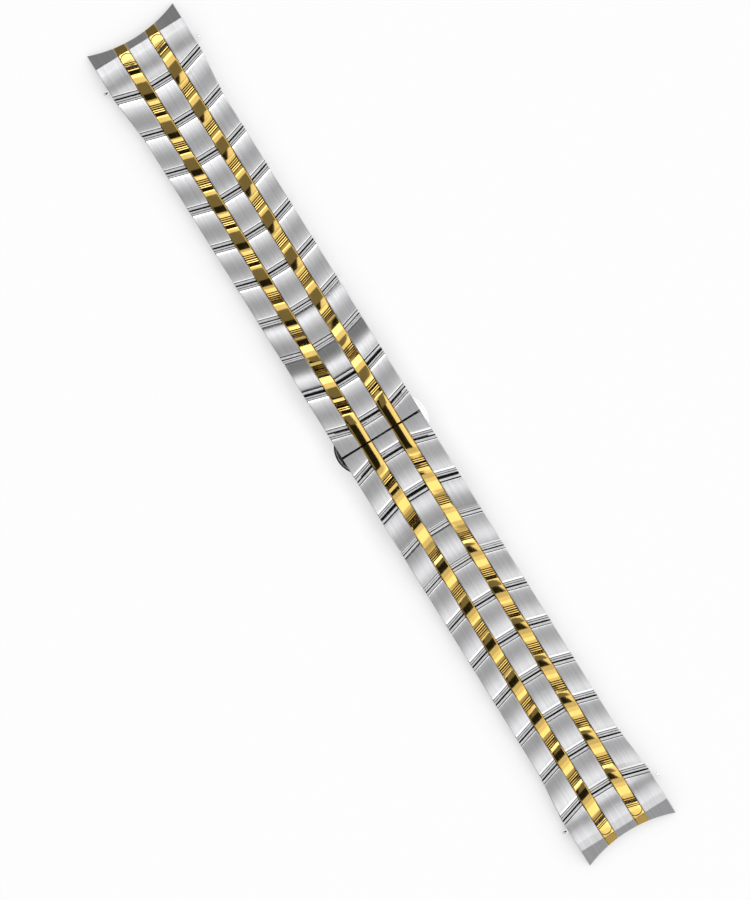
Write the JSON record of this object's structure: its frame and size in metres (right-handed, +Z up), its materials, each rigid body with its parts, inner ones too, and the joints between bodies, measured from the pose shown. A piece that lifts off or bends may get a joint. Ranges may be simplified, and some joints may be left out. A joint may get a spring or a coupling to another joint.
{
  "type": "watch bracelet",
  "caption": "Two-tone five-column metal watch bracelet with staggered solid links, curved end links and a closed double-folding push-button clasp.",
  "frame": {"origin": "on the table under the seam of the closed clasp, at the middle of the bottom of the bounding box", "axes": "+X along the bracelet toward half b, +Y across it, +Z up from the table through the outside of the links"},
  "size_m": [0.1878, 0.0222, 0.0077],
  "materials": {
    "brushed_steel": "brushed along the bracelet",
    "gold": "polished yellow gold plating",
    "clasp_steel": "fine satin inside the clasp",
    "polished_steel": "polished",
    "spring_steel": "plain drawn wire"
  },
  "bodies": {
    "base": {"base_plate": "clasp_steel", "hinge_pins": "polished_steel", "catch_box": "clasp_steel", "button_spring": "spring_steel"},
    "button_left": {"button_left": "polished_steel"},
    "button_right": {"button_right": "polished_steel"},
    "arm_a": {"clasp_arm_a": "clasp_steel"},
    "clasp_end_a": {"clasp_end_a": "brushed_steel", "clasp_inlay_a": "gold"},
    "row_a9": {"row_a9": "brushed_steel"},
    "gold_a9": {"gold_a9": "gold"},
    "row_a8": {"row_a8": "brushed_steel"},
    "gold_a8": {"gold_a8": "gold"},
    "row_a7": {"row_a7": "brushed_steel"},
    "gold_a7": {"gold_a7": "gold"},
    "row_a6": {"row_a6": "brushed_steel"},
    "gold_a6": {"gold_a6": "gold"},
    "row_a5": {"row_a5": "brushed_steel"},
    "gold_a5": {"gold_a5": "gold"},
    "row_a4": {"row_a4": "brushed_steel"},
    "gold_a4": {"gold_a4": "gold"},
    "row_a3": {"row_a3": "brushed_steel"},
    "gold_a3": {"gold_a3": "gold"},
    "row_a2": {"row_a2": "brushed_steel"},
    "gold_a2": {"gold_a2": "gold"},
    "row_a1": {"row_a1": "brushed_steel"},
    "gold_a1": {"gold_a1": "gold"},
    "end_link_a": {"end_link_a": "brushed_steel", "end_inlay_a": "gold", "spring_bar_a": "polished_steel", "bar_spring_a": "spring_steel"},
    "bar_tip_a_left": {"bar_tip_a_left": "polished_steel"},
    "bar_tip_a_right": {"bar_tip_a_right": "polished_steel"},
    "arm_b": {"clasp_arm_b": "clasp_steel"},
    "clasp_end_b": {"clasp_end_b": "brushed_steel", "clasp_inlay_b": "gold"},
    "row_b9": {"row_b9": "brushed_steel"},
    "gold_b9": {"gold_b9": "gold"},
    "row_b8": {"row_b8": "brushed_steel"},
    "gold_b8": {"gold_b8": "gold"},
    "row_b7": {"row_b7": "brushed_steel"},
    "gold_b7": {"gold_b7": "gold"},
    "row_b6": {"row_b6": "brushed_steel"},
    "gold_b6": {"gold_b6": "gold"},
    "row_b5": {"row_b5": "brushed_steel"},
    "gold_b5": {"gold_b5": "gold"},
    "row_b4": {"row_b4": "brushed_steel"},
    "gold_b4": {"gold_b4": "gold"},
    "row_b3": {"row_b3": "brushed_steel"},
    "gold_b3": {"gold_b3": "gold"},
    "row_b2": {"row_b2": "brushed_steel"},
    "gold_b2": {"gold_b2": "gold"},
    "row_b1": {"row_b1": "brushed_steel"},
    "gold_b1": {"gold_b1": "gold"},
    "end_link_b": {"end_link_b": "brushed_steel", "end_inlay_b": "gold", "spring_bar_b": "polished_steel", "bar_spring_b": "spring_steel"},
    "bar_tip_b_left": {"bar_tip_b_left": "polished_steel"},
    "bar_tip_b_right": {"bar_tip_b_right": "polished_steel"}
  },
  "joints": [
    {"name": "button_left_press", "type": "slide", "parent": "base", "child": "button_left", "axis": [0, 1, 0], "range_m": [0, 0.0007], "stiffness_N_per_m": 150, "springref_m": -0.0002, "deforming": ["button_spring"]},
    {"name": "button_right_press", "type": "slide", "parent": "base", "child": "button_right", "axis": [0, -1, 0], "range_m": [0, 0.0007], "stiffness_N_per_m": 150, "springref_m": -0.0002, "deforming": ["button_spring"]},
    {"name": "arm_a_fold", "type": "hinge", "parent": "base", "child": "arm_a", "pos_m": [-0.016, 0, 0.001], "axis": [0, 1, 0], "range_deg": [-150, 0]},
    {"name": "clasp_end_a_turn", "type": "hinge", "parent": "arm_a", "child": "clasp_end_a", "pos_m": [-0.0012, 0, 0.0055], "axis": [0, -1, 0], "range_deg": [-150, 0]},
    {"name": "row_a9_turn", "type": "hinge", "parent": "clasp_end_a", "child": "row_a9", "pos_m": [-0.0065, 0, 0.00585], "axis": [0, -1, 0], "range_deg": [-9.5, 0]},
    {"name": "gold_a9_turn", "type": "hinge", "parent": "row_a9", "child": "gold_a9", "pos_m": [-0.01085, 0, 0.0057], "axis": [0, -1, 0], "range_deg": [-16.5, 0]},
    {"name": "row_a8_turn", "type": "hinge", "parent": "gold_a9", "child": "row_a8", "pos_m": [-0.01512, 0, 0.00487], "axis": [0, -1, 0], "range_deg": [-16.5, 0]},
    {"name": "gold_a8_turn", "type": "hinge", "parent": "row_a8", "child": "gold_a8", "pos_m": [-0.01921, 0, 0.00338], "axis": [0, -1, 0], "range_deg": [-2.5, 14]},
    {"name": "row_a7_turn", "type": "hinge", "parent": "gold_a8", "child": "row_a7", "pos_m": [-0.02341, 0, 0.00226], "axis": [0, -1, 0], "range_deg": [-0.5, 16]},
    {"name": "gold_a7_turn", "type": "hinge", "parent": "row_a7", "child": "gold_a7", "pos_m": [-0.02771, 0, 0.00165], "axis": [0, -1, 0], "range_deg": [-3.5, 13]},
    {"name": "row_a6_turn", "type": "hinge", "parent": "gold_a7", "child": "row_a6", "pos_m": [-0.03205, 0, 0.00135], "axis": [0, -1, 0], "range_deg": [-3.5, 13]},
    {"name": "gold_a6_turn", "type": "hinge", "parent": "row_a6", "child": "gold_a6", "pos_m": [-0.0364, 0, 0.00135], "axis": [0, -1, 0], "range_deg": [-7.5, 9]},
    {"name": "row_a5_turn", "type": "hinge", "parent": "gold_a6", "child": "row_a5", "pos_m": [-0.04075, 0, 0.00135], "axis": [0, -1, 0], "range_deg": [-7.5, 9]},
    {"name": "gold_a5_turn", "type": "hinge", "parent": "row_a5", "child": "gold_a5", "pos_m": [-0.0451, 0, 0.00135], "axis": [0, -1, 0], "range_deg": [-7.5, 9]},
    {"name": "row_a4_turn", "type": "hinge", "parent": "gold_a5", "child": "row_a4", "pos_m": [-0.04945, 0, 0.00135], "axis": [0, -1, 0], "range_deg": [-7.5, 9]},
    {"name": "gold_a4_turn", "type": "hinge", "parent": "row_a4", "child": "gold_a4", "pos_m": [-0.0538, 0, 0.00135], "axis": [0, -1, 0], "range_deg": [-7.5, 9]},
    {"name": "row_a3_turn", "type": "hinge", "parent": "gold_a4", "child": "row_a3", "pos_m": [-0.05815, 0, 0.00135], "axis": [0, -1, 0], "range_deg": [-7.5, 9]},
    {"name": "gold_a3_turn", "type": "hinge", "parent": "row_a3", "child": "gold_a3", "pos_m": [-0.0625, 0, 0.00135], "axis": [0, -1, 0], "range_deg": [-7.5, 9]},
    {"name": "row_a2_turn", "type": "hinge", "parent": "gold_a3", "child": "row_a2", "pos_m": [-0.06685, 0, 0.00135], "axis": [0, -1, 0], "range_deg": [-7.5, 9]},
    {"name": "gold_a2_turn", "type": "hinge", "parent": "row_a2", "child": "gold_a2", "pos_m": [-0.0712, 0, 0.00135], "axis": [0, -1, 0], "range_deg": [-7.5, 9]},
    {"name": "row_a1_turn", "type": "hinge", "parent": "gold_a2", "child": "row_a1", "pos_m": [-0.07555, 0, 0.00135], "axis": [0, -1, 0], "range_deg": [-7.5, 9]},
    {"name": "gold_a1_turn", "type": "hinge", "parent": "row_a1", "child": "gold_a1", "pos_m": [-0.0799, 0, 0.00135], "axis": [0, -1, 0], "range_deg": [-7.5, 9]},
    {"name": "end_link_a_turn", "type": "hinge", "parent": "gold_a1", "child": "end_link_a", "pos_m": [-0.08555, 0, 0.00135], "axis": [0, -1, 0], "range_deg": [-7.5, 9]},
    {"name": "bar_tip_a_left_press", "type": "slide", "parent": "end_link_a", "child": "bar_tip_a_left", "axis": [0, 1, 0], "range_m": [0, 0.0011], "stiffness_N_per_m": 200, "springref_m": -0.0002, "deforming": ["bar_spring_a"]},
    {"name": "bar_tip_a_right_press", "type": "slide", "parent": "end_link_a", "child": "bar_tip_a_right", "axis": [0, -1, 0], "range_m": [0, 0.0011], "stiffness_N_per_m": 200, "springref_m": -0.0002, "deforming": ["bar_spring_a"]},
    {"name": "arm_b_fold", "type": "hinge", "parent": "base", "child": "arm_b", "pos_m": [0.016, 0, 0.001], "axis": [0, -1, 0], "range_deg": [-150, 0]},
    {"name": "clasp_end_b_turn", "type": "hinge", "parent": "arm_b", "child": "clasp_end_b", "pos_m": [0.0012, 0, 0.0055], "axis": [0, 1, 0], "range_deg": [-150, 0]},
    {"name": "row_b9_turn", "type": "hinge", "parent": "clasp_end_b", "child": "row_b9", "pos_m": [0.0065, 0, 0.00585], "axis": [0, 1, 0], "range_deg": [-9.5, 0]},
    {"name": "gold_b9_turn", "type": "hinge", "parent": "row_b9", "child": "gold_b9", "pos_m": [0.01085, 0, 0.0057], "axis": [0, 1, 0], "range_deg": [-16.5, 0]},
    {"name": "row_b8_turn", "type": "hinge", "parent": "gold_b9", "child": "row_b8", "pos_m": [0.01512, 0, 0.00487], "axis": [0, 1, 0], "range_deg": [-16.5, 0]},
    {"name": "gold_b8_turn", "type": "hinge", "parent": "row_b8", "child": "gold_b8", "pos_m": [0.01921, 0, 0.00338], "axis": [0, 1, 0], "range_deg": [-2.5, 14]},
    {"name": "row_b7_turn", "type": "hinge", "parent": "gold_b8", "child": "row_b7", "pos_m": [0.02341, 0, 0.00226], "axis": [0, 1, 0], "range_deg": [-0.5, 16]},
    {"name": "gold_b7_turn", "type": "hinge", "parent": "row_b7", "child": "gold_b7", "pos_m": [0.02771, 0, 0.00165], "axis": [0, 1, 0], "range_deg": [-3.5, 13]},
    {"name": "row_b6_turn", "type": "hinge", "parent": "gold_b7", "child": "row_b6", "pos_m": [0.03205, 0, 0.00135], "axis": [0, 1, 0], "range_deg": [-3.5, 13]},
    {"name": "gold_b6_turn", "type": "hinge", "parent": "row_b6", "child": "gold_b6", "pos_m": [0.0364, 0, 0.00135], "axis": [0, 1, 0], "range_deg": [-7.5, 9]},
    {"name": "row_b5_turn", "type": "hinge", "parent": "gold_b6", "child": "row_b5", "pos_m": [0.04075, 0, 0.00135], "axis": [0, 1, 0], "range_deg": [-7.5, 9]},
    {"name": "gold_b5_turn", "type": "hinge", "parent": "row_b5", "child": "gold_b5", "pos_m": [0.0451, 0, 0.00135], "axis": [0, 1, 0], "range_deg": [-7.5, 9]},
    {"name": "row_b4_turn", "type": "hinge", "parent": "gold_b5", "child": "row_b4", "pos_m": [0.04945, 0, 0.00135], "axis": [0, 1, 0], "range_deg": [-7.5, 9]},
    {"name": "gold_b4_turn", "type": "hinge", "parent": "row_b4", "child": "gold_b4", "pos_m": [0.0538, 0, 0.00135], "axis": [0, 1, 0], "range_deg": [-7.5, 9]},
    {"name": "row_b3_turn", "type": "hinge", "parent": "gold_b4", "child": "row_b3", "pos_m": [0.05815, 0, 0.00135], "axis": [0, 1, 0], "range_deg": [-7.5, 9]},
    {"name": "gold_b3_turn", "type": "hinge", "parent": "row_b3", "child": "gold_b3", "pos_m": [0.0625, 0, 0.00135], "axis": [0, 1, 0], "range_deg": [-7.5, 9]},
    {"name": "row_b2_turn", "type": "hinge", "parent": "gold_b3", "child": "row_b2", "pos_m": [0.06685, 0, 0.00135], "axis": [0, 1, 0], "range_deg": [-7.5, 9]},
    {"name": "gold_b2_turn", "type": "hinge", "parent": "row_b2", "child": "gold_b2", "pos_m": [0.0712, 0, 0.00135], "axis": [0, 1, 0], "range_deg": [-7.5, 9]},
    {"name": "row_b1_turn", "type": "hinge", "parent": "gold_b2", "child": "row_b1", "pos_m": [0.07555, 0, 0.00135], "axis": [0, 1, 0], "range_deg": [-7.5, 9]},
    {"name": "gold_b1_turn", "type": "hinge", "parent": "row_b1", "child": "gold_b1", "pos_m": [0.0799, 0, 0.00135], "axis": [0, 1, 0], "range_deg": [-7.5, 9]},
    {"name": "end_link_b_turn", "type": "hinge", "parent": "gold_b1", "child": "end_link_b", "pos_m": [0.08555, 0, 0.00135], "axis": [0, 1, 0], "range_deg": [-7.5, 9]},
    {"name": "bar_tip_b_left_press", "type": "slide", "parent": "end_link_b", "child": "bar_tip_b_left", "axis": [0, 1, 0], "range_m": [0, 0.0011], "stiffness_N_per_m": 200, "springref_m": -0.0002, "deforming": ["bar_spring_b"]},
    {"name": "bar_tip_b_right_press", "type": "slide", "parent": "end_link_b", "child": "bar_tip_b_right", "axis": [0, -1, 0], "range_m": [0, 0.0011], "stiffness_N_per_m": 200, "springref_m": -0.0002, "deforming": ["bar_spring_b"]}
  ],
  "couplings": [
    {"joint": "clasp_end_a_turn", "follows": "arm_a_fold", "ratio": 1},
    {"joint": "clasp_end_b_turn", "follows": "arm_b_fold", "ratio": 1}
  ]
}
